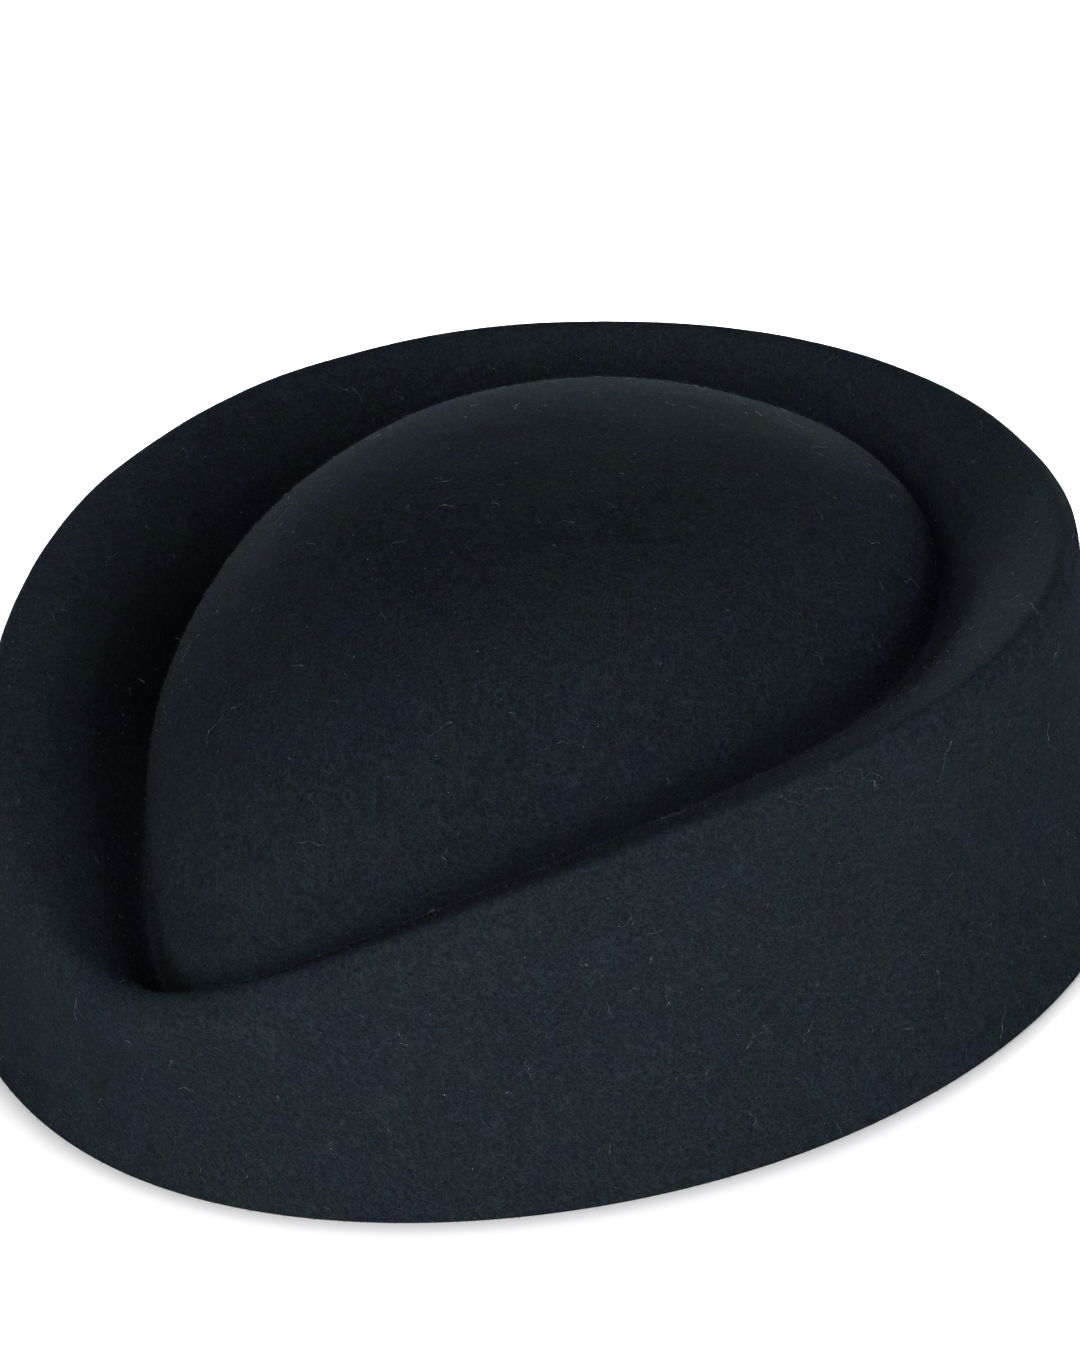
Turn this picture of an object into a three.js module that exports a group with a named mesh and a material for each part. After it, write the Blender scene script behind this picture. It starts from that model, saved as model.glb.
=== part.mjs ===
// Teardrop pillbox hat: one blocked felt hood, hollow and open below.
// Millimetres, +Z up. The cut edge of the side wall stands on z = 0, the point of the
// teardrop faces -Y, and the crown sits 1 mm to the side of the wall's middle plane x = 0.
import * as THREE from 'three';

// ---- driving dimensions -------------------------------------------------------------------
const FELT_THICKNESS = 2.5;
const TIP_ROUNDING = 0.32;     // 0 is a knife point at the front of a tapered section
const TIP_DROP_POWER = 8;      // how closely the dip of the rim gathers round the point
const AROUND = 68;             // flat facets round the hat

// One row for each section of the felt's outer face, in order from the cut edge up the wall,
// over the rolled rim, down into the groove and up to the middle of the crown.
// z is the height at mid length. half_length, half_width, centre_x and centre_y are the section's
// oval in plan. taper is 0 for an oval and about 1 for a teardrop. tip_drop is how far the section
// dips at its front point, and pitch how much it climbs for each millimetre towards the back.
// bands is the number of facet bands up to the next section.
const COLUMNS = [
  'z', 'half_length', 'half_width', 'centre_x', 'centre_y', 'taper', 'tip_drop', 'pitch', 'bands'];
const SECTIONS = {
  cut_edge:    [0.0, 99.0, 91.5, 0.0, 0.0, 0.13, 0.0, 0.000, 2],
  low_wall:    [16.0, 95.0, 88.0, 0.0, -2.0, 0.23, 6.5, 0.013, 2],
  high_wall:   [32.5, 93.0, 86.5, 0.0, -4.5, 0.33, 13.0, 0.027, 2],
  shoulder:    [46.0, 92.5, 86.5, 0.0, -6.5, 0.42, 19.0, 0.040, 3],
  roll:        [49.2, 91.2, 85.3, 0.0, -6.5, 0.42, 19.0, 0.040, 3],
  crest:       [50.7, 88.0, 82.0, 0.0, -6.5, 0.42, 19.0, 0.040, 3],
  inner_slope: [44.0, 82.5, 73.0, 0.5, -7.0, 0.58, 17.0, 0.040, 3],
  groove:      [34.5, 77.0, 64.5, 1.0, -7.0, 0.73, 15.0, 0.040, 3],
  crown_foot:  [41.5, 75.5, 63.0, 1.0, -7.0, 0.73, 14.0, 0.040, 2],
  crown_side:  [46.0, 72.0, 60.0, 1.0, -6.5, 0.73, 12.5, 0.040, 2],
  crown_brow:  [50.5, 65.5, 55.0, 1.0, -6.0, 0.73, 10.0, 0.040, 3],
  crown_low:   [59.0, 46.5, 38.5, 1.0, -4.0, 0.52, 4.5, 0.040, 2],
  crown_high:  [64.0, 23.0, 19.5, 0.5, -2.0, 0.26, 1.0, 0.040, 2],
  crown_top:   [65.5, 0.0, 0.0, 0.5, 0.5, 0.00, 0.0, 0.040, 0],
};

// ---- the felt's outer face ----------------------------------------------------------------
const rows = Object.values(SECTIONS).map(
  (values) => Object.fromEntries(COLUMNS.map((column, i) => [column, values[i]])));
const lastRow = rows.length - 1;

// A smooth curve through one column of the table; u counts sections from the cut edge.
function smooth(column, u) {
  const i = Math.min(Math.floor(u), lastRow - 1);
  const s = u - i;
  const b = rows[i][column];
  const c = rows[i + 1][column];
  const a = i > 0 ? rows[i - 1][column] : 2 * b - c;
  const d = i + 2 <= lastRow ? rows[i + 2][column] : 2 * c - b;
  const linear = (c - a) * s;
  const square = (2 * a - 5 * b + 4 * c - d) * s * s;
  const cube = (3 * b - a - 3 * c + d) * s * s * s;
  return b + 0.5 * (linear + square + cube);
}

// A point of the outer face; angle 0 is the front point, and half a turn is the back.
function outerPoint(u, angle) {
  const section = Object.fromEntries(COLUMNS.map((column) => [column, smooth(column, u)]));
  const nearTip = (1 + Math.cos(angle)) / 2;
  const roundness = TIP_ROUNDING ** 2;
  const narrowing = ((1 - nearTip + roundness) / (1 + roundness)) ** (section.taper / 2);
  const x = section.centre_x + section.half_width * Math.sin(angle) * narrowing;
  const y = section.centre_y - section.half_length * Math.cos(angle);
  const z = section.z + section.pitch * y - section.tip_drop * nearTip ** TIP_DROP_POWER;
  return new THREE.Vector3(x, y, z);
}

// The outward direction there, from the slopes of the face round the hat and up it.
function outward(u, angle) {
  const step = 0.01;
  const below = outerPoint(Math.max(u - step, 0), angle);
  const above = outerPoint(Math.min(u + step, lastRow - step), angle);
  const around = outerPoint(u, angle + step).sub(outerPoint(u, angle - step));
  return around.cross(above.sub(below)).normalize();
}

// The face one felt thickness inside, flat on z = 0 at the cut edge.
function innerPoint(u, angle) {
  const point = outerPoint(u, angle);
  const direction = outward(u, angle);
  if (u === 0) {
    direction.setZ(0).normalize();
  }
  return point.addScaledVector(direction, -FELT_THICKNESS);
}

// ---- the closed solid -----------------------------------------------------------------------
// Rings of points from the cut edge to just below the crown's top, then the top itself.
function skinPoints(pointAt, topHeight) {
  const points = [];
  rows.forEach((row, index) => {
    for (let band = 0; band < row.bands; band += 1) {
      for (let k = 0; k < AROUND; k += 1) {
        points.push(pointAt(index + band / row.bands, (2 * Math.PI * k) / AROUND));
      }
    }
  });
  points.push(outerPoint(lastRow, 0).setZ(topHeight));
  return points;
}

function feltSolid() {
  const top = outerPoint(lastRow, 0).z;
  const outer = skinPoints(outerPoint, top);
  const inner = skinPoints(innerPoint, top - FELT_THICKNESS);
  const offset = outer.length;
  const rings = (outer.length - 1) / AROUND;
  const faces = [];
  for (let k = 0; k < AROUND; k += 1) {
    const next = (k + 1) % AROUND;
    for (let ring = 0; ring < rings - 1; ring += 1) {
      const a = ring * AROUND + k;
      const b = ring * AROUND + next;
      const c = b + AROUND;
      const d = a + AROUND;
      faces.push(a, b, c, a, c, d);
      faces.push(offset + a, offset + c, offset + b, offset + a, offset + d, offset + c);
    }
    const lastRing = (rings - 1) * AROUND;
    faces.push(lastRing + k, lastRing + next, offset - 1);
    faces.push(offset + lastRing + next, offset + lastRing + k, 2 * offset - 1);
    faces.push(k, offset + next, next, k, offset + k, offset + next);
  }
  const geometry = new THREE.BufferGeometry().setFromPoints([...outer, ...inner]);
  geometry.setIndex(faces);
  geometry.computeVertexNormals();
  return geometry;
}

const felt = new THREE.MeshStandardMaterial({ color: 0x252a30, roughness: 0.95, metalness: 0 });

const feltBody = new THREE.Mesh(feltSolid(), felt);
feltBody.name = 'felt_body';

const group = new THREE.Group();
group.name = 'teardrop_pillbox_hat';
group.add(feltBody);

export default group;
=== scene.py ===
"""Teardrop pillbox hat in blue-black wool felt: the looks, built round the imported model."""

import math

import bpy
import numpy as np
from mathutils import Matrix, Vector


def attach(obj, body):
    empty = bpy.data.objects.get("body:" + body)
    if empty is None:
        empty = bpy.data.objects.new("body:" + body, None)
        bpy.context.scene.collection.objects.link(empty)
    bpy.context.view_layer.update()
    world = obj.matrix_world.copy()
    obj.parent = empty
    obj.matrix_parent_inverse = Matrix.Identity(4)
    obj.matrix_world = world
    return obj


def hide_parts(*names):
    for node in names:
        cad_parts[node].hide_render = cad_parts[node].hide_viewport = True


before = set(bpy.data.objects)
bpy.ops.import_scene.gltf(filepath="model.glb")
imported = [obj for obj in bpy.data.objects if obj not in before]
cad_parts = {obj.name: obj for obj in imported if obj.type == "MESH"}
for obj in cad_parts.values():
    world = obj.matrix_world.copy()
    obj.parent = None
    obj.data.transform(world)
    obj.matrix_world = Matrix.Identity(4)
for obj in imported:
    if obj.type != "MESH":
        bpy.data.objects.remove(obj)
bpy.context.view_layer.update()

bl_info = {
    "name": "Teardrop Pillbox Hat",
    "version": (1, 0, 0),
    "blender": (4, 5, 0),
    "location": "View3D > Sidebar > Hat",
    "description": "Builds a blocked felt pillbox hat with a teardrop crown, its nap and its lint",
    "category": "Add Mesh",
}

MM = 0.001
BODY = "root"
CAD_NODE = "felt_body"
FELT_PIECE = "felt_hat"


# ---- the block that the felt is shaped on ---------------------------------------------------
# One row for each section of the felt's outer face, in order from the cut edge up the wall,
# over the rolled rim, down into the groove and up to the middle of the crown. Millimetres.
# The columns are z, the height at mid length; half_length, half_width, centre_x and centre_y, the
# section's oval in plan; taper, 0 for an oval and about 1 for a teardrop that points to the front
# (-Y); tip_drop, how far the section dips at its front point; pitch, how much it climbs for each
# millimetre towards the back; and bands, the number of face bands up to the next section.
SECTIONS = {
    "cut_edge": (0.0, 99.0, 91.5, 0.0, 0.0, 0.13, 0.0, 0.000, 14),
    "low_wall": (16.0, 95.0, 88.0, 0.0, -2.0, 0.23, 6.5, 0.013, 14),
    "high_wall": (32.5, 93.0, 86.5, 0.0, -4.5, 0.33, 13.0, 0.027, 14),
    "shoulder": (46.0, 92.5, 86.5, 0.0, -6.5, 0.42, 19.0, 0.040, 12),
    "roll": (49.2, 91.2, 85.3, 0.0, -6.5, 0.42, 19.0, 0.040, 12),
    "crest": (50.7, 88.0, 82.0, 0.0, -6.5, 0.42, 19.0, 0.040, 12),
    "inner_slope": (44.0, 82.5, 73.0, 0.5, -7.0, 0.58, 17.0, 0.040, 12),
    "groove": (34.5, 77.0, 64.5, 1.0, -7.0, 0.73, 15.0, 0.040, 12),
    "crown_foot": (41.5, 75.5, 63.0, 1.0, -7.0, 0.73, 14.0, 0.040, 12),
    "crown_side": (46.0, 72.0, 60.0, 1.0, -6.5, 0.73, 12.5, 0.040, 12),
    "crown_brow": (50.5, 65.5, 55.0, 1.0, -6.0, 0.73, 10.0, 0.040, 14),
    "crown_low": (59.0, 46.5, 38.5, 1.0, -4.0, 0.52, 4.5, 0.040, 14),
    "crown_high": (64.0, 23.0, 19.5, 0.5, -2.0, 0.26, 1.0, 0.040, 14),
    "crown_top": (65.5, 0.0, 0.0, 0.5, 0.5, 0.00, 0.0, 0.040, 0),
}
NAMES = list(SECTIONS)
TABLE = np.array(list(SECTIONS.values()), float)
LAST = len(TABLE) - 1
CUT_EDGE_STEP = np.array([0.0])
LEAST_BANDS = 2         # face bands between two sections, at least
TIP_ROUNDING = 0.32     # 0 is a knife point at the front of a tapered section
TIP_DROP_POWER = 8      # how closely the dip of the rim gathers round the point
SLOPE_STEP = 0.01       # slopes are taken over this many sections, and radians round the hat


def smooth(u):
    """The table's columns at the section numbers u, on a smooth curve through its rows."""
    padded = np.vstack([2 * TABLE[0] - TABLE[1], TABLE, 2 * TABLE[-1] - TABLE[-2]])
    row = np.clip(np.floor(u).astype(int), 0, LAST - 1)
    s = (u - row)[:, None]
    a, b, c, d = (padded[row + k] for k in range(4))
    linear = (c - a) * s
    square = (2 * a - 5 * b + 4 * c - d) * s**2
    cube = (3 * b - a - 3 * c + d) * s**3
    return b + 0.5 * (linear + square + cube)


def outer_face(u, angle):
    """Points of the felt's outer face in metres: a row for each u, a column for each angle."""
    columns = [column[:, None] for column in smooth(u).T]
    z, half_length, half_width, centre_x, centre_y, taper, tip_drop, pitch, _ = columns
    near_tip = (1 + np.cos(angle)) / 2
    roundness = TIP_ROUNDING**2
    narrowing = ((1 - near_tip + roundness) / (1 + roundness)) ** (taper / 2)
    x = centre_x + half_width * np.sin(angle) * narrowing
    y = centre_y - half_length * np.cos(angle)
    height = z + pitch * y - tip_drop * near_tip**TIP_DROP_POWER
    return np.stack([x, y, height], axis=-1) * MM


def outward(u, angle):
    """Unit vectors that point out of the outer face, from its slopes round the hat and up it."""
    below = outer_face(np.maximum(u - SLOPE_STEP, 0), angle)
    above = outer_face(np.minimum(u + SLOPE_STEP, LAST - SLOPE_STEP), angle)
    ahead = outer_face(u, angle + SLOPE_STEP)
    behind = outer_face(u, angle - SLOPE_STEP)
    direction = np.cross(ahead - behind, above - below)
    return direction / np.linalg.norm(direction, axis=-1, keepdims=True)


def section_steps(share):
    """Section numbers for the rings of a skin, with a share of the table's bands."""
    steps = []
    for row, bands in enumerate(TABLE[:-1, -1]):
        count = max(LEAST_BANDS, round(bands * share))
        steps += [row + k / count for k in range(count)]
    return np.array(steps)


def cut_edge_line(angle):
    """The outer corner of the cut edge, and the level unit vectors that point out of it."""
    edge = outer_face(CUT_EDGE_STEP, angle)[0]
    across = outward(CUT_EDGE_STEP, angle)[0]
    across[:, 2] = 0
    return edge, across / np.linalg.norm(across, axis=-1, keepdims=True)


# ---- node trees -----------------------------------------------------------------------------
class Wire:
    """An output socket that adds Math nodes when it is used in an expression."""

    def __init__(self, graph, socket):
        self.graph = graph
        self.socket = socket

    def __add__(self, other):
        return self.graph.math("ADD", self, other)

    def __radd__(self, other):
        return self.graph.math("ADD", other, self)

    def __sub__(self, other):
        return self.graph.math("SUBTRACT", self, other)

    def __rsub__(self, other):
        return self.graph.math("SUBTRACT", other, self)

    def __mul__(self, other):
        return self.graph.math("MULTIPLY", self, other)

    def __rmul__(self, other):
        return self.graph.math("MULTIPLY", other, self)

    def __abs__(self):
        return self.graph.math("ABSOLUTE", self)


class Graph:
    """Adds nodes to a tree: a node's settings first, then the values or links of its sockets."""

    def __init__(self, tree):
        self.tree = tree
        self.tree.nodes.clear()

    def node(self, kind, settings=None, sockets=None):
        made = self.tree.nodes.new(kind)
        for name, value in (settings or {}).items():
            setattr(made, name, value)
        for key, value in (sockets or {}).items():
            self.feed(made.inputs[key], value)
        return made

    def feed(self, socket, value):
        """Links a wire to an input socket, or sets the socket's own value."""
        if isinstance(value, Wire):
            self.tree.links.new(value.socket, socket)
        else:
            socket.default_value = value

    def add(self, kind, settings=None, sockets=None, output=0):
        return Wire(self, self.node(kind, settings, sockets).outputs[output])

    def out(self, node, name):
        return Wire(self, node.outputs[name])

    def math(self, operation, *values):
        return self.add("ShaderNodeMath", {"operation": operation}, dict(enumerate(values)))

    def vector_math(self, operation, *values):
        return self.add("ShaderNodeVectorMath", {"operation": operation}, dict(enumerate(values)))

    def scaled(self, vector, amount):
        """A vector or a colour times a number."""
        sockets = {0: vector, "Scale": amount}
        return self.add("ShaderNodeVectorMath", {"operation": "SCALE"}, sockets)

    def along(self, vector, axis):
        """One part, X, Y or Z, of a vector."""
        return self.add("ShaderNodeSeparateXYZ", {}, {0: vector}, output=axis)

    def spread(self, value, low, high):
        """The stretch of value from low to high, opened out to 0 to 1."""
        sockets = {"Value": value, "From Min": low, "From Max": high}
        return self.add("ShaderNodeMapRange", {"interpolation_type": "SMOOTHSTEP"}, sockets)


def rgba(colour):
    return (*colour, 1.0)


# How wide a wandering line is, in the noise that draws it, and how much that noise is distorted.
RIDGE_WIDTH = 0.06
RIDGE_DISTORTION = 0.8
SPECKLE_ROUGHNESS = 0.8
# Shade is painted into the dye within this many sections of the groove's bottom, more and more
# between these two places across the hat.
GROOVE_REACH = 2.0
GROOVE_LIGHT_X = 10 * MM
GROOVE_DARK_X = -50 * MM


class ShaderGraph(Graph):
    """A material's node tree, with the few patterns that cloth fibres need."""

    def __init__(self, name):
        self.material = bpy.data.materials.new(name)
        self.material.use_nodes = True
        super().__init__(self.material.node_tree)
        self.place = self.add("ShaderNodeTexCoord", output="Object")

    def attribute(self, name):
        return self.add("ShaderNodeAttribute", {"attribute_name": name}, output="Fac")

    def noise(self, size, detail, distortion=0.0, roughness=0.5, place=None, output=0):
        """Noise from 0 to 1 whose blotches are about size metres across."""
        sockets = {
            "Vector": place or self.place,
            "Scale": 1 / size,
            "Detail": detail,
            "Roughness": roughness,
            "Distortion": distortion,
        }
        return self.add("ShaderNodeTexNoise", {}, sockets, output)

    def mix(self, factor, first, second):
        sockets = {0: factor, 6: first, 7: second}
        return self.add("ShaderNodeMix", {"data_type": "RGBA"}, sockets, output=2)

    def tint(self, colour, amount):
        """A colour made lighter or darker by a number."""
        return self.scaled(colour if isinstance(colour, Wire) else tuple(colour), amount)

    def turned(self, turn, stretch):
        """The surface's own coordinates, turned and then stretched along each axis."""
        sockets = {"Vector": self.place, "Rotation": turn, "Scale": stretch}
        return self.add("ShaderNodeMapping", {"vector_type": "TEXTURE"}, sockets)

    def ridges(self, size, place):
        """Thin wandering lines about size metres apart: 1 on a line and 0 between them."""
        away = self.noise(size, 0.0, RIDGE_DISTORTION, place=place) - 0.5
        return self.spread(abs(away), RIDGE_WIDTH, 0.0)

    def speckled(self, colour, size, amount, detail):
        """The colour with its red, green and blue each raised or lowered a little at random."""
        speckle = self.noise(size, detail, roughness=SPECKLE_ROUGHNESS, output="Color")
        gain = self.vector_math(
            "MULTIPLY_ADD", speckle, (amount,) * 3, (1 - amount / 2,) * 3)
        return self.vector_math("MULTIPLY", colour, gain)

    def painted_shade(self, felt):
        """Painted shade on the dye: 1, or darker in the groove on the -X side and on top of the
        crown.
        """
        section = self.attribute("section")
        groove = self.spread(abs(section - NAMES.index("groove")), GROOVE_REACH, 0.0)
        side = self.spread(self.along(self.place, "X"), GROOVE_LIGHT_X, GROOVE_DARK_X)
        top = self.spread(section, NAMES.index("crown_side"), NAMES.index("crown_high"))
        # Painted shade in the groove on the -X side and on top of the crown, where less light
        # falls.
        return (1 - groove * side * felt.groove_painted_shade) * (1 - top * felt.crown_painted_shade)

    def finish(self, sockets):
        surface = self.add("ShaderNodeBsdfPrincipled", {}, sockets)
        self.node("ShaderNodeOutputMaterial", {}, {"Surface": surface})
        return self.material


# ---- sizes and colours that a user may change ------------------------------------------------
class HatFeltSettings(bpy.types.PropertyGroup):
    thickness: bpy.props.FloatProperty(
        name="Felt thickness", description="Thickness of the felt wall",
        default=2.5 * MM, unit="LENGTH")
    around: bpy.props.IntProperty(
        name="Facets around", description="Faces in each ring of the felt", default=320)
    edge_round: bpy.props.FloatProperty(
        name="Cut edge rounding", description="How far the knife-cut edge is rounded off",
        default=0.55 * MM, unit="LENGTH")
    wave_height: bpy.props.FloatProperty(
        name="Blocking waves", description="Depth of the slow waves left by hand blocking",
        default=0.9 * MM, unit="LENGTH")
    wave_size: bpy.props.FloatProperty(
        name="Wave size", description="Width of those waves", default=34 * MM, unit="LENGTH")
    pill_height: bpy.props.FloatProperty(
        name="Felt lumps", description="Depth of the small lumps in the felt",
        default=0.10 * MM, unit="LENGTH")
    pill_size: bpy.props.FloatProperty(
        name="Lump size", description="Width of those lumps", default=3.2 * MM, unit="LENGTH")
    colour: bpy.props.FloatVectorProperty(
        name="Felt colour", description="Main blue-black of the felt", subtype="COLOR",
        default=(0.0072, 0.0095, 0.0120), min=0, max=1)
    colour_green: bpy.props.FloatVectorProperty(
        name="Green cast", description="Dye cast in some patches", subtype="COLOR",
        default=(0.0070, 0.0098, 0.0116), min=0, max=1)
    colour_violet: bpy.props.FloatVectorProperty(
        name="Violet cast", description="Dye cast in other patches", subtype="COLOR",
        default=(0.0073, 0.0095, 0.0145), min=0, max=1)
    speckle: bpy.props.FloatProperty(
        name="Dye speckle", description="How far the dye's red, green and blue wander",
        default=0.65)
    fibre_width: bpy.props.FloatProperty(
        name="Fibre width", description="Width of a tuft of matted fibres",
        default=0.32 * MM, unit="LENGTH")
    grain: bpy.props.FloatProperty(
        name="Grain", description="Contrast between a tuft of fibres and the felt under it",
        default=1.15)
    strand_gap: bpy.props.FloatProperty(
        name="Strand gap", description="Distance between the fine strands that lie on the felt",
        default=0.62 * MM, unit="LENGTH")
    strand_light: bpy.props.FloatProperty(
        name="Strand light", description="How much lighter those strands are", default=0.6)
    # Painted shade: how much the dye is darkened in the groove on the -X side and on top of the
    # crown.
    groove_painted_shade: bpy.props.FloatProperty(
        name="Groove painted shade",
        description="How much shade is painted into the groove on the -X side", default=0.8)
    crown_painted_shade: bpy.props.FloatProperty(
        name="Crown painted shade",
        description="How much shade is painted onto the top of the crown", default=0.22)
    sheen: bpy.props.FloatProperty(
        name="Sheen", description="Strength of the soft glow at grazing angles", default=0.002)
    sheen_roughness: bpy.props.FloatProperty(
        name="Sheen roughness", description="Spread of that glow", default=0.3)


class HatNapSettings(bpy.types.PropertyGroup):
    density: bpy.props.FloatProperty(
        name="Nap density", description="Nap hairs in each square metre", default=2.3e6)
    length: bpy.props.FloatProperty(
        name="Nap length", description="Longest nap hair", default=0.7 * MM, unit="LENGTH")
    radius: bpy.props.FloatProperty(
        name="Nap radius", description="Radius at the root of a nap hair",
        default=0.022 * MM, unit="LENGTH")
    lean: bpy.props.FloatProperty(
        name="Nap lean", description="How far a nap hair leans at most", default=1.25,
        subtype="ANGLE")
    seed: bpy.props.IntProperty(name="Nap seed", description="Fixed random seed", default=11)
    colour: bpy.props.FloatVectorProperty(
        name="Nap colour", description="Colour of the raised fibres", subtype="COLOR",
        default=(0.018, 0.024, 0.030), min=0, max=1)


class HatLintSettings(bpy.types.PropertyGroup):
    density: bpy.props.FloatProperty(
        name="Lint density", description="Lint fibres in each square metre", default=1.7e4)
    length: bpy.props.FloatProperty(
        name="Lint length", description="Longest lint fibre", default=4.0 * MM, unit="LENGTH")
    radius: bpy.props.FloatProperty(
        name="Lint radius", description="Radius of a lint fibre", default=0.013 * MM,
        unit="LENGTH")
    curl: bpy.props.FloatProperty(
        name="Lint curl", description="How far a lint fibre wanders sideways",
        default=3.2 * MM, unit="LENGTH")
    seed: bpy.props.IntProperty(name="Lint seed", description="Fixed random seed", default=5)
    colour: bpy.props.FloatVectorProperty(
        name="Lint colour", description="Colour of the pale stray fibres", subtype="COLOR",
        default=(0.115, 0.127, 0.135), min=0, max=1)


class HatDustSettings(bpy.types.PropertyGroup):
    density: bpy.props.FloatProperty(
        name="Dust density", description="Specks of dust in each square metre", default=2.2e4)
    size: bpy.props.FloatProperty(
        name="Dust size", description="Radius of the largest speck", default=0.07 * MM,
        unit="LENGTH")
    seed: bpy.props.IntProperty(name="Dust seed", description="Fixed random seed", default=23)
    colour: bpy.props.FloatVectorProperty(
        name="Dust colour", description="Colour of the pale specks", subtype="COLOR",
        default=(0.15, 0.165, 0.175), min=0, max=1)


class HatStageSettings(bpy.types.PropertyGroup):
    floor_colour: bpy.props.FloatVectorProperty(
        name="Floor colour", description="Colour of the pale floor", subtype="COLOR",
        default=(0.86, 0.86, 0.86), min=0, max=1)
    room_light: bpy.props.FloatProperty(
        name="Room light", description="Brightness of the room round the table", default=0.03)
    view_azimuth: bpy.props.FloatProperty(
        name="View azimuth", description="Turn of the camera round the hat from the front",
        default=math.radians(34.9), subtype="ANGLE")
    view_elevation: bpy.props.FloatProperty(
        name="View elevation", description="Height of the camera above the horizon",
        default=math.radians(28.85), subtype="ANGLE")
    view_roll: bpy.props.FloatProperty(
        name="View roll", description="Tilt of the camera about its own axis",
        default=math.radians(-2.15), subtype="ANGLE")
    view_distance: bpy.props.FloatProperty(
        name="View distance", description="Distance from the camera to the point it looks at",
        default=0.4358, unit="LENGTH")
    look_at: bpy.props.FloatVectorProperty(
        name="Look at", description="Point that the camera looks at",
        default=(0.0008, 0.0002, 0.0290), subtype="XYZ")
    lens: bpy.props.FloatProperty(
        name="Lens", description="Focal length in millimetres on a 36 mm sensor", default=76.1)


# ---- the felt body --------------------------------------------------------------------------
# Across the cut edge from its outer to its inner corner: share of the thickness, and how far
# that line of the edge is lifted off the surface, as a share of the rounding.
CUT_EDGE = ((0.0, 1.0), (0.05, 0.45), (0.15, 0.12), (0.3, 0.0), (0.7, 0.0), (0.85, 0.12),
            (0.95, 0.45), (1.0, 1.0))
INNER_SHARE = 0.42      # the inner face has this share of the outer face's bands


def felt_rings(felt):
    """Rings of points from the crown's inside down, round the cut edge and up to its top."""
    angle = np.linspace(0, 2 * np.pi, felt.around, endpoint=False)
    outer_steps = section_steps(1.0)[1:]
    inner_steps = section_steps(INNER_SHARE)[1:]
    inner = outer_face(inner_steps, angle) - felt.thickness * outward(inner_steps, angle)
    edge, across = cut_edge_line(angle)
    cut = [edge - across * felt.thickness * share + [0, 0, lift * felt.edge_round]
           for share, lift in reversed(CUT_EDGE)]
    outer = outer_face(outer_steps, angle)
    rings = np.concatenate([inner[::-1], np.array(cut), outer])
    directions = np.concatenate([
        outward(inner_steps, angle)[::-1],
        np.repeat(outward(CUT_EDGE_STEP, angle), len(cut), axis=0),
        outward(outer_steps, angle)])
    return rings, directions, len(inner)


def store(mesh, name, values):
    """Keeps a number or a vector on each of a mesh's points, as an attribute."""
    values = np.asarray(values, np.float32)
    kind, field = ("FLOAT", "value") if values.ndim == 1 else ("FLOAT_VECTOR", "vector")
    attribute = mesh.attributes.new(name, kind, "POINT")
    attribute.data.foreach_set(field, values.ravel())


def felt_mesh(felt):
    """The closed felt shell as one mesh, with its section and outward direction on each point."""
    rings, directions, inner_count = felt_rings(felt)
    count = felt.around
    top = outer_face(np.array([float(LAST)]), np.array([0.0]))[0, 0]
    under_top = top - np.array([0, 0, felt.thickness])
    points = np.vstack([rings.reshape(-1, 3), under_top, top])
    arrows = np.vstack([directions.reshape(-1, 3), [0, 0, 1], [0, 0, 1]])
    faces = []
    for ring in range(len(rings) - 1):
        for k in range(count):
            a, b = ring * count + k, ring * count + (k + 1) % count
            faces.append((a, b, b + count, a + count))
    low, high = len(points) - 2, len(points) - 1
    last = (len(rings) - 1) * count
    for k in range(count):
        after = (k + 1) % count
        faces.append((after, k, low))
        faces.append((last + k, last + after, high))
    mesh = bpy.data.meshes.new(FELT_PIECE)
    mesh.from_pydata(points.tolist(), [], faces)
    outside = np.zeros(len(points))
    outside[inner_count * count:len(rings) * count] = 1
    outside[high] = 1
    steps = np.concatenate([np.zeros(inner_count + len(CUT_EDGE)), section_steps(1.0)[1:]])
    section = np.append(np.repeat(steps, count), [0, LAST])
    store(mesh, "outward", arrows)
    store(mesh, "outside", outside)
    store(mesh, "section", section)
    mesh.shade_smooth()
    return mesh


SECTION_MARGIN = 0.001      # so that a selection takes in the sections at its own two ends


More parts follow.
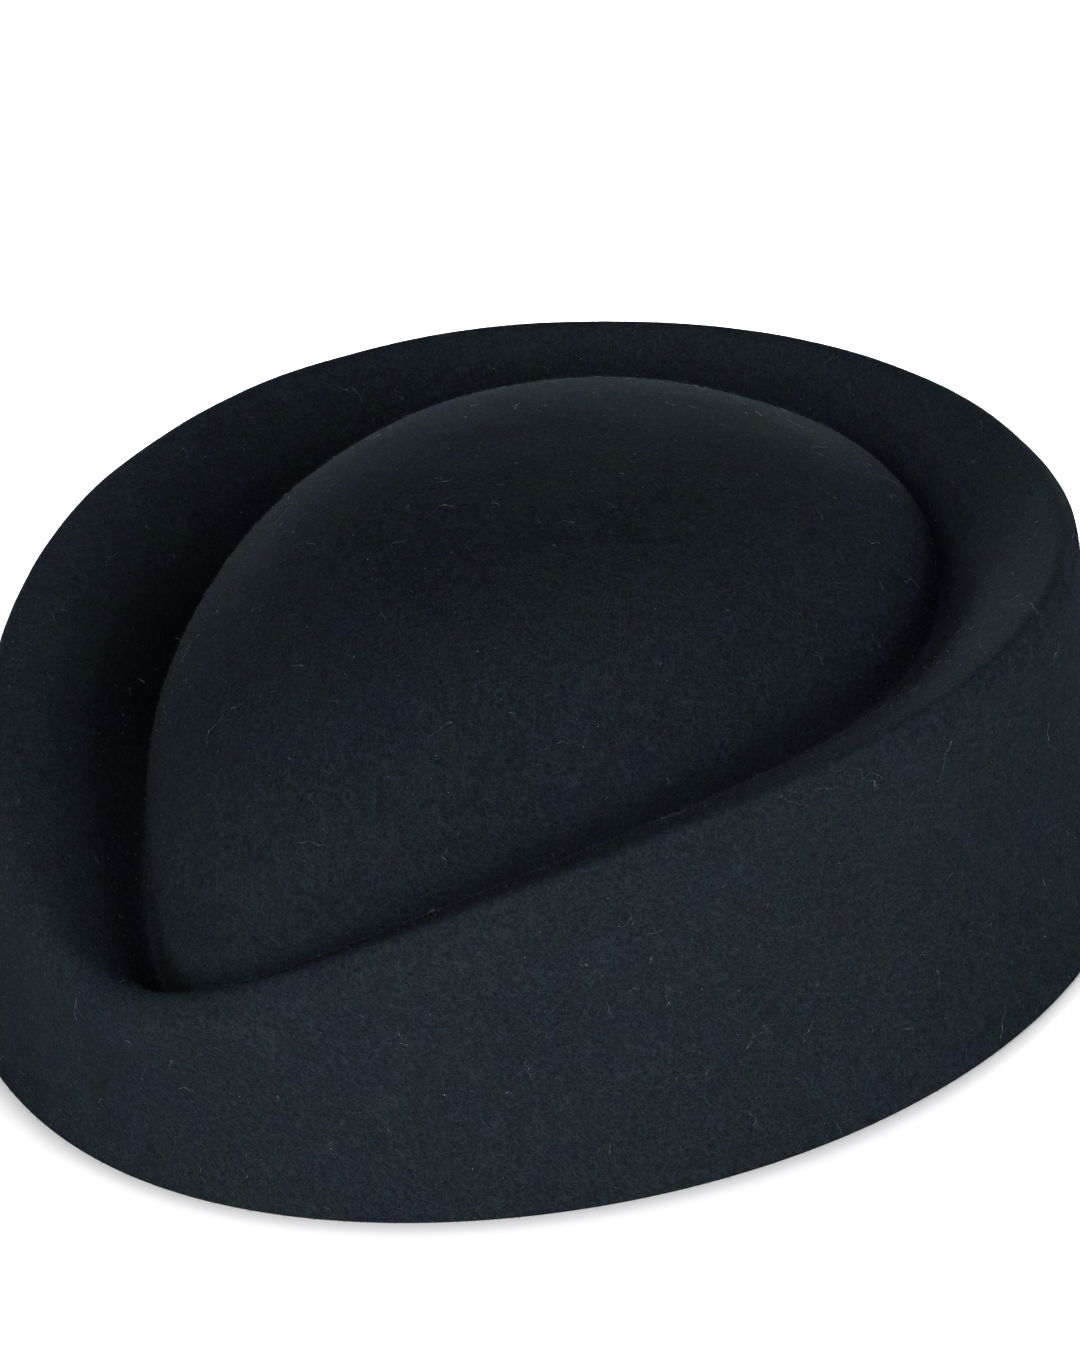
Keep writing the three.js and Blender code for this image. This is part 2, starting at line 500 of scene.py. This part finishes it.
class GeometryGraph(Graph):
    """A Geometry Nodes tree with named inputs; run() applies it and returns a plain object."""

    def __init__(self, name):
        super().__init__(bpy.data.node_groups.new(name, "GeometryNodeTree"))
        interface = self.tree.interface
        interface.new_socket("Geometry", in_out="INPUT", socket_type="NodeSocketGeometry")
        interface.new_socket("Geometry", in_out="OUTPUT", socket_type="NodeSocketGeometry")
        self.values = {}

    def inputs(self, **values):
        kinds = {float: "NodeSocketFloat", int: "NodeSocketInt",
                 bpy.types.Material: "NodeSocketMaterial"}
        for name, value in values.items():
            label = name.replace("_", " ").capitalize()
            item = self.tree.interface.new_socket(
                label, in_out="INPUT", socket_type=kinds[type(value)])
            self.values[item.identifier] = value
        entry = self.node("NodeGroupInput")
        return [Wire(self, socket) for socket in entry.outputs if socket.name]

    def attribute(self, name, data_type="FLOAT"):
        return self.add("GeometryNodeInputNamedAttribute", {"data_type": data_type},
                        {"Name": name}, output="Attribute")

    def position(self):
        return self.add("GeometryNodeInputPosition")

    def moved(self, geometry, **sockets):
        """The geometry moved by an Offset, or to a Position."""
        return self.add("GeometryNodeSetPosition", {}, {"Geometry": geometry, **sockets})

    def random(self, low, high, seed, vector=False):
        kind = "FLOAT_VECTOR" if vector else "FLOAT"
        node = self.node("FunctionNodeRandomValue", {"data_type": kind})
        for socket, value in zip((s for s in node.inputs if s.enabled), (low, high)):
            self.feed(socket, value)
        self.feed(node.inputs["Seed"], seed)
        return Wire(self, next(s for s in node.outputs if s.enabled))

    def scatter(self, mesh, first, last, density, seed):
        """Random points on the outer face between two named sections, and their rotations."""
        section = self.attribute("section")
        above = self.math("GREATER_THAN", section, NAMES.index(first) - SECTION_MARGIN)
        below = self.math("LESS_THAN", section, NAMES.index(last) + SECTION_MARGIN)
        outside = self.math("GREATER_THAN", self.attribute("outside"), 0.5)
        node = self.node(
            "GeometryNodeDistributePointsOnFaces", {"distribute_method": "RANDOM"},
            {"Mesh": mesh, "Selection": above * below * outside, "Density": density, "Seed": seed})
        return self.out(node, "Points"), self.out(node, "Rotation")

    def turned(self, rotation, turn):
        return self.add("FunctionNodeRotateRotation", {"rotation_space": "LOCAL"},
                        {"Rotation": rotation, "Rotate By": turn})

    def placed(self, points, piece, rotation, size):
        return self.add("GeometryNodeInstanceOnPoints", {}, {
            "Points": points, "Instance": piece, "Rotation": rotation, "Scale": size})

    def close(self, geometry, material):
        """Ends the tree with the geometry, made real and given its material."""
        realised = self.add("GeometryNodeRealizeInstances", {}, {"Geometry": geometry})
        painted = self.add("GeometryNodeSetMaterial", {},
                           {"Geometry": realised, "Material": material})
        self.node("NodeGroupOutput", {}, {0: painted})

    def run(self, mesh, name):
        """Runs the tree on a mesh and returns the result as a plain object called name."""
        carrier = bpy.data.objects.new(name + "_carrier", mesh)
        bpy.context.scene.collection.objects.link(carrier)
        modifier = carrier.modifiers.new("Nodes", "NODES")
        modifier.node_group = self.tree
        for identifier, value in self.values.items():
            modifier[identifier] = value
        evaluated = carrier.evaluated_get(bpy.context.evaluated_depsgraph_get())
        result = bpy.data.meshes.new_from_object(evaluated)
        carrier.modifiers.remove(modifier)
        bpy.data.objects.remove(carrier)
        result.name = name
        piece = bpy.data.objects.new(name, result)
        bpy.context.scene.collection.objects.link(piece)
        return piece


WAVE_DETAIL = 1.0
LUMP_DETAIL = 2.0
# The felt stays as it was blocked at the cut edge, and is fully wavy from the second height up.
FLAT_BELOW = 1 * MM
WAVY_ABOVE = 8 * MM


def relief_tree(felt, material):
    """Moves the felt along its outward direction by slow blocking waves and small lumps."""
    graph = GeometryGraph("felt_relief")
    geometry, wave_height, wave_size, lump_height, lump_size, paint = graph.inputs(
        wave_height=felt.wave_height, wave_size=felt.wave_size,
        lump_height=felt.pill_height, lump_size=felt.pill_size, material=material)
    position = graph.position()
    height = 0.0
    for amount, size, detail in (
            (wave_height, wave_size, WAVE_DETAIL), (lump_height, lump_size, LUMP_DETAIL)):
        noise = graph.add("ShaderNodeTexNoise", {}, {
            "Vector": position, "Scale": graph.math("DIVIDE", 1.0, size), "Detail": detail})
        height = (noise - 0.5) * amount + height
    share = graph.spread(graph.along(position, "Z"), FLAT_BELOW, WAVY_ABOVE)
    offset = graph.scaled(graph.attribute("outward", "FLOAT_VECTOR"), height * share)
    graph.close(graph.moved(geometry, Offset=offset), paint)
    return graph


# Three directions that the felt's matted fibres take, the turn of each about x, y and z, and how
# far a tuft is stretched along its own three axes.
FIBRE_TURNS = ((0.3, 0.9, 0.2), (1.2, 0.2, 1.1), (0.5, -0.6, 2.2))
FIBRE_STRETCH = (3.2, 1.0, 1.0)
TUFT_DETAIL, TUFT_DISTORTION = 1.0, 0.5
# The noise of each pattern: its size in metres, detail, distortion and roughness.
GREEN_NOISE = (26 * MM, 2.0, 0.0, 0.5)
VIOLET_NOISE = (15 * MM, 2.0, 0.6, 0.5)
CLUMP_NOISE = (2.4 * MM, 3.0, 0.4, 0.6)
BLOTCH_NOISE = (11 * MM, 1.0, 0.0, 0.5)
# Where in its noise a cast of the dye begins and is full, and how strong the violet one gets.
GREEN_EDGES = (0.40, 0.60)
VIOLET_EDGES = (0.46, 0.66)
VIOLET_SHARE = 0.7
SPECKLE_SIZE, SPECKLE_DETAIL = 4 * MM, 4.0
# How light the dye is on a tuft of middling height, and what the larger patterns add to that.
LIGHTNESS, MIDDLE_TUFT = 0.57, 0.6
CLUMP_LIGHT, BLOTCH_LIGHT = 0.17, 0.21
# The relief of the bump: what the clumps and strands add to the tufts, and its strength and depth.
CLUMP_RISE, STRAND_RISE = 0.5, 0.3
BUMP_STRENGTH, BUMP_DEPTH = 0.5, 0.12 * MM


def felt_material(felt):
    """Wool felt: mottled dye, matted fibres, painted shade and a faint glow at grazing angles."""
    graph = ShaderGraph("felt_wool")
    green = graph.spread(graph.noise(*GREEN_NOISE), *GREEN_EDGES)
    violet = graph.spread(graph.noise(*VIOLET_NOISE), *VIOLET_EDGES)
    base = graph.mix(green, rgba(felt.colour), rgba(felt.colour_green))
    base = graph.mix(violet * VIOLET_SHARE, base, rgba(felt.colour_violet))
    base = graph.speckled(base, SPECKLE_SIZE, felt.speckle, SPECKLE_DETAIL)
    matted, strands = 0.0, 0.0
    for turn in FIBRE_TURNS:
        place = graph.turned(turn, FIBRE_STRETCH)
        tufts = graph.noise(felt.fibre_width, TUFT_DETAIL, TUFT_DISTORTION, place=place)
        matted = graph.math("MAXIMUM", tufts, matted)
        strands = graph.math("MAXIMUM", graph.ridges(felt.strand_gap, place), strands)
    clumps = graph.noise(*CLUMP_NOISE)
    blotches = graph.noise(*BLOTCH_NOISE)
    shade = (LIGHTNESS + (matted - MIDDLE_TUFT) * felt.grain + strands * felt.strand_light
             + clumps * CLUMP_LIGHT + blotches * BLOTCH_LIGHT)
    # Painted shade in the groove on the -X side and on top of the crown.
    shade = shade * graph.painted_shade(felt)
    height = matted + clumps * CLUMP_RISE + strands * STRAND_RISE
    bump = graph.add("ShaderNodeBump", {},
                     {"Strength": BUMP_STRENGTH, "Distance": BUMP_DEPTH, "Height": height},
                     output="Normal")
    return graph.finish({
        "Base Color": graph.tint(base, shade),
        "Roughness": 0.95,
        "Specular IOR Level": 0.0,
        "Sheen Weight": felt.sheen,
        "Sheen Roughness": felt.sheen_roughness,
        "Sheen Tint": (0.86, 0.93, 1.0, 1.0),
        "Normal": bump,
    })


class HAT_OT_felt_body(bpy.types.Operator):
    """Shape the felt body over its block and give it its wool finish"""

    bl_idname = "hat.felt_body"
    bl_label = "Felt body"

    def execute(self, context):
        felt = context.scene.hat_felt
        tree = relief_tree(felt, felt_material(felt))
        piece = tree.run(felt_mesh(felt), FELT_PIECE)
        piece.data.shade_smooth()
        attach(piece, BODY)
        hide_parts(CAD_NODE)
        return {"FINISHED"}


# ---- nap and lint ---------------------------------------------------------------------------
# Each nap piece covers the sections between two named ones.
NAP_PIECES = {
    "nap_wall": ("cut_edge", "high_wall"),
    "nap_rim": ("high_wall", "groove"),
    "nap_crown": ("groove", "crown_top"),
}
NAP_SIDES = 3
NAP_SIZES = (0.35, 1.0)     # the smallest and the largest hair, as shares of the longest


def nap_tree(nap, material, first, last, seed):
    """Short straight hairs that stand on the felt and lean every way."""
    graph = GeometryGraph("nap")
    geometry, density, length, radius, lean, seed_in, paint = graph.inputs(
        density=nap.density, length=nap.length, radius=nap.radius, lean=nap.lean,
        seed=seed, material=material)
    points, rotations = graph.scatter(geometry, first, last, density, seed_in)
    hair = graph.add("GeometryNodeMeshCone", {"fill_type": "NGON"}, {
        "Vertices": NAP_SIDES, "Side Segments": 1, "Radius Top": 0.0,
        "Radius Bottom": radius, "Depth": length}, output="Mesh")
    low = graph.add("ShaderNodeCombineXYZ", {}, {0: 0.0 - lean, 1: 0.0 - lean, 2: -math.pi})
    high = graph.add("ShaderNodeCombineXYZ", {}, {0: lean, 1: lean, 2: math.pi})
    turn = graph.random(low, high, seed_in, vector=True)
    size = graph.random(*NAP_SIZES, seed_in)
    graph.close(graph.placed(points, hair, graph.turned(rotations, turn), size), paint)
    return graph


# A fibre's lightness: the size and detail of its noise, where in that it begins to lighten and is
# lightest, how light its dark stretches are and how much lighter its lightest ones.
FIBRE_NOISE = (0.8 * MM, 1.0)
FIBRE_EDGES = (0.5, 0.8)
FIBRE_LIGHTNESS, FIBRE_GAIN = 0.6, 2.4


def fibre_material(name, colour, roughness, felt=None):
    """A fibre's finish, lighter here and there; with felt, it carries the felt's painted shade."""
    graph = ShaderGraph(name)
    shade = FIBRE_LIGHTNESS + graph.spread(graph.noise(*FIBRE_NOISE), *FIBRE_EDGES) * FIBRE_GAIN
    if felt:
        # Painted shade, the same as on the felt under the hair.
        shade = shade * graph.painted_shade(felt)
    return graph.finish({
        "Base Color": graph.tint(colour, shade),
        "Roughness": roughness,
        "Specular IOR Level": 0.05,
    })


class HAT_OT_nap(bpy.types.Operator):
    """Raise the short nap of the felt over the wall, rim and crown"""

    bl_idname = "hat.nap"
    bl_label = "Nap"

    def execute(self, context):
        nap = context.scene.hat_nap
        # The nap carries the felt's painted shade in the groove and on the crown.
        material = fibre_material("nap_fibre", nap.colour, 0.75, context.scene.hat_felt)
        felt = bpy.data.objects[FELT_PIECE].data
        for step, (name, (first, last)) in enumerate(NAP_PIECES.items()):
            piece = nap_tree(nap, material, first, last, nap.seed + step).run(felt, name)
            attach(piece, BODY)
        return {"FINISHED"}


LINT_POINTS = 14        # points along a fibre
LINT_SIDES = 4
LINT_LEAST = 0.07       # the shortest fibre, as a share of the longest
LINT_POWER = 6.0        # the higher it is, the fewer fibres are long
# How tightly a fibre curls and how quickly it rises and falls, as the Scale of each noise, and
# how far it rises off the felt, less how deep it starts in it.
CURL_SCALE, LIFT_SCALE = 560.0, 300.0
LINT_LIFT, LINT_DEPTH = 0.5 * MM, 0.05 * MM


def lint_tree(lint, material):
    """Pale curly fibres that lie on the felt."""
    graph = GeometryGraph("lint")
    geometry, density, length, radius, curl, seed, paint = graph.inputs(
        density=lint.density, length=lint.length, radius=lint.radius, curl=lint.curl,
        seed=lint.seed, material=material)
    points, rotations = graph.scatter(geometry, "cut_edge", "crown_top", density, seed)
    end = graph.add("ShaderNodeCombineXYZ", {}, {0: length, 1: 0.0, 2: 0.0})
    line = graph.add("GeometryNodeCurvePrimitiveLine", {}, {"Start": (0, 0, 0), "End": end},
                     output="Curve")
    thread = graph.add("GeometryNodeResampleCurve", {}, {"Curve": line, "Count": LINT_POINTS})
    spin = graph.random((0.0, 0.0, -math.pi), (0.0, 0.0, math.pi), seed, vector=True)
    draw = graph.random(0.0, 1.0, seed)
    size = LINT_LEAST + graph.math("POWER", draw, LINT_POWER) * (1 - LINT_LEAST)
    placed = graph.placed(points, thread, graph.turned(rotations, spin), size)
    loose = graph.add("GeometryNodeRealizeInstances", {}, {"Geometry": placed})
    position = graph.position()
    swirl = graph.add("ShaderNodeTexNoise", {},
                      {"Vector": position, "Scale": CURL_SCALE, "Detail": 1.0}, output="Color")
    centred = graph.vector_math("SUBTRACT", swirl, (0.5, 0.5, 0.5))
    curled = graph.moved(loose, Offset=graph.scaled(centred, curl))
    near = graph.node("GeometryNodeProximity", {"target_element": "FACES"},
                      {"Geometry": geometry})
    normal = graph.add("GeometryNodeSampleNearestSurface", {"data_type": "FLOAT_VECTOR"}, {
        "Mesh": geometry, "Value": graph.attribute("outward", "FLOAT_VECTOR"),
        "Sample Position": position}, output="Value")
    lift = graph.add("ShaderNodeTexNoise", {}, {"Vector": position, "Scale": LIFT_SCALE})
    rise = graph.scaled(normal, LINT_LIFT * lift - LINT_DEPTH)
    above = graph.vector_math("ADD", graph.out(near, "Position"), rise)
    laid = graph.moved(curled, Position=above)
    profile = graph.add("GeometryNodeCurvePrimitiveCircle", {"mode": "RADIUS"},
                        {"Resolution": LINT_SIDES, "Radius": radius}, output="Curve")
    tube = graph.add("GeometryNodeCurveToMesh", {},
                     {"Curve": laid, "Profile Curve": profile, "Fill Caps": True})
    graph.close(tube, paint)
    return graph


class HAT_OT_lint(bpy.types.Operator):
    """Scatter pale curly lint over the felt"""

    bl_idname = "hat.lint"
    bl_label = "Lint"

    def execute(self, context):
        lint = context.scene.hat_lint
        material = fibre_material("lint_fibre", lint.colour, 0.6)
        piece = lint_tree(lint, material).run(bpy.data.objects[FELT_PIECE].data, "lint")
        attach(piece, BODY)
        return {"FINISHED"}


DUST_LEAST = 0.3        # the smallest speck's size along each axis, as a share of the largest's


def dust_tree(dust, material):
    """Small pale grains caught in the felt."""
    graph = GeometryGraph("dust")
    geometry, density, radius, seed, paint = graph.inputs(
        density=dust.density, size=dust.size, seed=dust.seed, material=material)
    points, rotations = graph.scatter(geometry, "cut_edge", "crown_top", density, seed)
    grain = graph.add("GeometryNodeMeshIcoSphere", {}, {"Radius": radius, "Subdivisions": 1},
                      output="Mesh")
    size = graph.random((DUST_LEAST,) * 3, (1.0,) * 3, seed, vector=True)
    graph.close(graph.placed(points, grain, rotations, size), paint)
    return graph


class HAT_OT_dust(bpy.types.Operator):
    """Scatter small pale specks of dust over the felt"""

    bl_idname = "hat.dust"
    bl_label = "Dust"

    def execute(self, context):
        dust = context.scene.hat_dust
        material = fibre_material("dust_speck", dust.colour, 0.8)
        piece = dust_tree(dust, material).run(bpy.data.objects[FELT_PIECE].data, "dust")
        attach(piece, BODY)
        return {"FINISHED"}


# ---- the stage ------------------------------------------------------------------------------
# Soft lights: the turn of each round the hat from the front and its height above the horizon in
# degrees, its power in watts and its colour. All of them are this far, in metres, from the point
# that they face, and this wide.
LIGHTS = {
    "front_softbox": (15, 27, 12.2, (1.02, 1.0, 0.95)),
    "side_softbox": (88, 8, 5.4, (1.03, 1.0, 1.0)),
    "back_softbox": (220, 3, 92.0, (1.03, 1.0, 0.92)),
    "rear_softbox": (180, 3, 24.0, (1.03, 1.0, 0.92)),
    "high_fill": (48, 42, 1.8, (0.87, 0.96, 1.35)),
}
LIGHTS_DISTANCE = 0.9
LIGHTS_SIZE = 0.45
LIGHTS_AIM = (0.0, 0.0, 0.03)
# The camera's sensor is this many millimetres wide, and it sees nothing nearer than this in metres.
SENSOR_WIDTH = 36.0
NEAREST = 0.01


def arm(turn, height, distance):
    """A vector of length distance at a turn from the front (-Y) and a height above the horizon."""
    return distance * Vector((math.sin(turn) * math.cos(height),
                              -math.cos(turn) * math.cos(height), math.sin(height)))


# The floor in rings: metres from the cut edge, how light the paper is there, darker close to the
# hat for its soft contact shade, and the paper's glow, which stands in for the lamps farther out.
FLOOR_RINGS = (
    (0.0, 0.50, 0.30), (0.001, 0.62, 0.30), (0.002, 0.76, 0.30), (0.0035, 0.87, 0.30),
    (0.006, 0.94, 0.30), (0.010, 0.98, 0.30), (0.018, 1.0, 0.30), (0.3, 1.0, 0.35),
    (0.6, 1.0, 0.7), (1.0, 1.0, 1.0), (2.0, 1.0, 1.2), (40.0, 1.0, 1.2))
FLOOR_AROUND = 128
FLOOR_DROP = 0.05 * MM


def floor_mesh():
    """A wide floor just under the hat, with its shade and its glow kept on each point."""
    edge, away = cut_edge_line(np.linspace(0, 2 * np.pi, FLOOR_AROUND, endpoint=False))
    points = np.vstack([*(edge + away * ring[0] for ring in FLOOR_RINGS), [0, 0, 0]])
    points[:, 2] = -FLOOR_DROP
    middle = len(points) - 1
    faces = []
    for k in range(FLOOR_AROUND):
        after = (k + 1) % FLOOR_AROUND
        faces.append((k, after, middle))
        for start in range(0, middle - FLOOR_AROUND, FLOOR_AROUND):
            end = start + FLOOR_AROUND
            faces.append((start + k, end + k, end + after, start + after))
    mesh = bpy.data.meshes.new("floor")
    mesh.from_pydata(points.tolist(), [], faces)
    for column, name in ((1, "shade"), (2, "glow")):
        values = [ring[column] for ring in FLOOR_RINGS]
        store(mesh, name, np.append(np.repeat(values, FLOOR_AROUND), values[0]))
    return mesh


class HAT_OT_stage(bpy.types.Operator):
    """Lay the pale floor, set the soft lights and place the camera"""

    bl_idname = "hat.stage"
    bl_label = "Stage"

    def execute(self, context):
        stage = context.scene.hat_stage
        self.floor(context, stage)
        self.world(context, stage)
        for name, light in LIGHTS.items():
            self.light(context, name, *light)
        self.camera(context, stage)
        context.scene.view_settings.view_transform = "Standard"
        return {"FINISHED"}

    def floor(self, context, stage):
        mesh = floor_mesh()
        graph = ShaderGraph("floor_paper")
        paper = graph.tint(stage.floor_colour, graph.attribute("shade"))
        glow = graph.tint(paper, graph.attribute("glow"))
        mesh.materials.append(graph.finish({
            "Base Color": paper, "Roughness": 0.9, "Specular IOR Level": 0.1,
            "Emission Color": glow, "Emission Strength": 1.0}))
        floor = bpy.data.objects.new("floor", mesh)
        context.scene.collection.objects.link(floor)

    def world(self, context, stage):
        world = bpy.data.worlds.new("soft_room")
        world.use_nodes = True
        context.scene.world = world
        graph = Graph(world.node_tree)
        background = graph.add("ShaderNodeBackground", {},
                               {"Color": (1.0, 1.0, 1.0, 1.0), "Strength": stage.room_light})
        graph.node("ShaderNodeOutputWorld", {}, {"Surface": background})

    def light(self, context, name, turn, height, power, colour):
        data = bpy.data.lights.new(name, "AREA")
        data.shape = "SQUARE"
        data.size = LIGHTS_SIZE
        data.energy = power
        data.color = colour
        lamp = bpy.data.objects.new(name, data)
        away = arm(math.radians(turn), math.radians(height), LIGHTS_DISTANCE)
        lamp.location = Vector(LIGHTS_AIM) + away
        lamp.rotation_euler = (-away).to_track_quat("-Z", "Y").to_euler()
        context.scene.collection.objects.link(lamp)

    def camera(self, context, stage):
        data = bpy.data.cameras.new("camera")
        data.lens = stage.lens
        data.sensor_width = SENSOR_WIDTH
        data.clip_start = NEAREST
        camera = bpy.data.objects.new("camera", data)
        back = arm(stage.view_azimuth, stage.view_elevation, stage.view_distance)
        camera.location = Vector(stage.look_at) + back
        aim = (-back).to_track_quat("-Z", "Y").to_matrix()
        camera.rotation_euler = (aim @ Matrix.Rotation(stage.view_roll, 3, "Z")).to_euler()
        context.scene.collection.objects.link(camera)
        context.scene.camera = camera


# ---- panel and main -------------------------------------------------------------------------
SETTINGS = {
    "hat_felt": HatFeltSettings,
    "hat_nap": HatNapSettings,
    "hat_lint": HatLintSettings,
    "hat_dust": HatDustSettings,
    "hat_stage": HatStageSettings,
}
OPERATORS = (HAT_OT_felt_body, HAT_OT_nap, HAT_OT_lint, HAT_OT_dust, HAT_OT_stage)


class HAT_PT_panel(bpy.types.Panel):
    """Lists the hat's settings and the steps that build it"""

    bl_idname = "HAT_PT_panel"
    bl_label = "Teardrop Pillbox Hat"
    bl_space_type = "VIEW_3D"
    bl_region_type = "UI"
    bl_category = "Hat"

    def draw(self, context):
        for step, (name, group) in zip(OPERATORS, SETTINGS.items()):
            box = self.layout.box()
            box.operator(step.bl_idname)
            for field in group.__annotations__:
                box.prop(getattr(context.scene, name), field)


def register():
    for group in SETTINGS.values():
        bpy.utils.register_class(group)
    for name, group in SETTINGS.items():
        setattr(bpy.types.Scene, name, bpy.props.PointerProperty(type=group))
    for cls in (*OPERATORS, HAT_PT_panel):
        bpy.utils.register_class(cls)


def unregister():
    for cls in (HAT_PT_panel, *reversed(OPERATORS)):
        bpy.utils.unregister_class(cls)
    for name, group in reversed(SETTINGS.items()):
        delattr(bpy.types.Scene, name)
        bpy.utils.unregister_class(group)


def main():
    register()
    bpy.ops.hat.felt_body()
    bpy.ops.hat.nap()
    bpy.ops.hat.lint()
    bpy.ops.hat.dust()
    bpy.ops.hat.stage()


if __name__ == "__main__":
    main()
